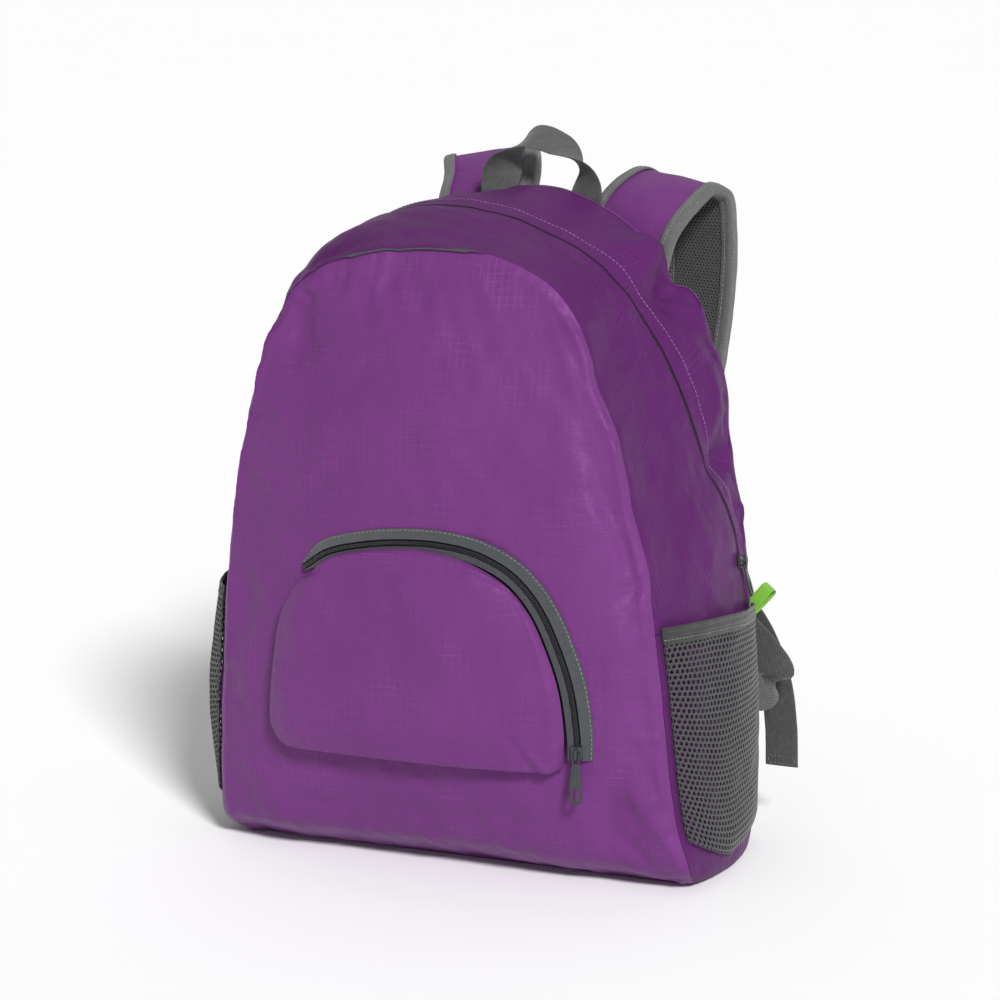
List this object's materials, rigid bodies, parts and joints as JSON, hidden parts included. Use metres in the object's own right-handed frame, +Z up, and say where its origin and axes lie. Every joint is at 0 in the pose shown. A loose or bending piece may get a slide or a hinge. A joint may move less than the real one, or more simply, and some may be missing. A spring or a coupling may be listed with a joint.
{
  "type": "packable backpack",
  "caption": "Thin ripstop day backpack with an arched front pocket, net side pockets, a grab handle and padded shoulder straps on webbing, standing filled out.",
  "frame": {"origin": "middle of the flat base, on the floor", "axes": "+Z up, the front pocket faces -Y, the shoulder straps face +Y, +X is the right of a viewer in front"},
  "size_m": [0.3695, 0.2934, 0.46],
  "materials": {
    "purple_ripstop": "thin coated ripstop cloth with a soft sheen",
    "grey_zip_tape": "woven zipper tape",
    "black_coil": "nylon coil",
    "grey_painted_metal": "satin grey paint",
    "grey_mesh": "open knitted mesh",
    "grey_binding": "twill binding and ribbed elastic",
    "grey_webbing": "ribbed woven webbing",
    "black_plastic": "moulded, satin",
    "lime_tape": "smooth woven tape"
  },
  "bodies": {
    "bag": {"base_panel": "purple_ripstop", "front_panel": "purple_ripstop", "back_panel": "purple_ripstop", "side_panel_left": "purple_ripstop", "side_panel_right": "purple_ripstop", "gusset_front": "purple_ripstop", "gusset_rear": "purple_ripstop", "main_zip_tape": "grey_zip_tape", "main_zip_coil": "black_coil", "net_pocket_left": "grey_mesh", "net_pocket_right": "grey_mesh", "net_elastic_left": "grey_binding", "net_elastic_right": "grey_binding", "pocket_panel": "purple_ripstop", "pocket_zip_coil": "black_coil", "pocket_zip_tape_outer": "grey_zip_tape", "pocket_zip_tape_inner": "grey_zip_tape", "pocket_zip_slider": "grey_painted_metal", "main_zip_slider": "grey_painted_metal", "grab_handle": "grey_webbing", "strap_pad_left": "purple_ripstop", "strap_pad_right": "purple_ripstop", "strap_binding_inner_left": "grey_binding", "strap_binding_outer_left": "grey_binding", "strap_binding_inner_right": "grey_binding", "strap_binding_outer_right": "grey_binding", "strap_net_left": "grey_mesh", "strap_net_right": "grey_mesh", "ladder_lock_left": "black_plastic", "ladder_lock_right": "black_plastic", "strap_webbing_left": "grey_webbing", "strap_webbing_right": "grey_webbing", "strap_tab_left": "grey_webbing", "strap_tab_right": "grey_webbing", "loop_tab": "lime_tape"},
    "pocket_pull": {"pocket_zip_pull": "grey_painted_metal"},
    "main_pull": {"main_zip_pull": "grey_painted_metal"}
  },
  "joints": [
    {"name": "pocket_pull_hinge", "type": "hinge", "parent": "bag", "child": "pocket_pull", "pos_m": [0.10474, -0.11478, 0.09102], "axis": [-0.9824, -0.1867, 0], "range_deg": [0, 150]},
    {"name": "main_pull_hinge", "type": "hinge", "parent": "bag", "child": "main_pull", "pos_m": [0.15405, 0.03774, 0.18928], "axis": [0.1441, -0.9896, 0], "range_deg": [0, 100]}
  ]
}
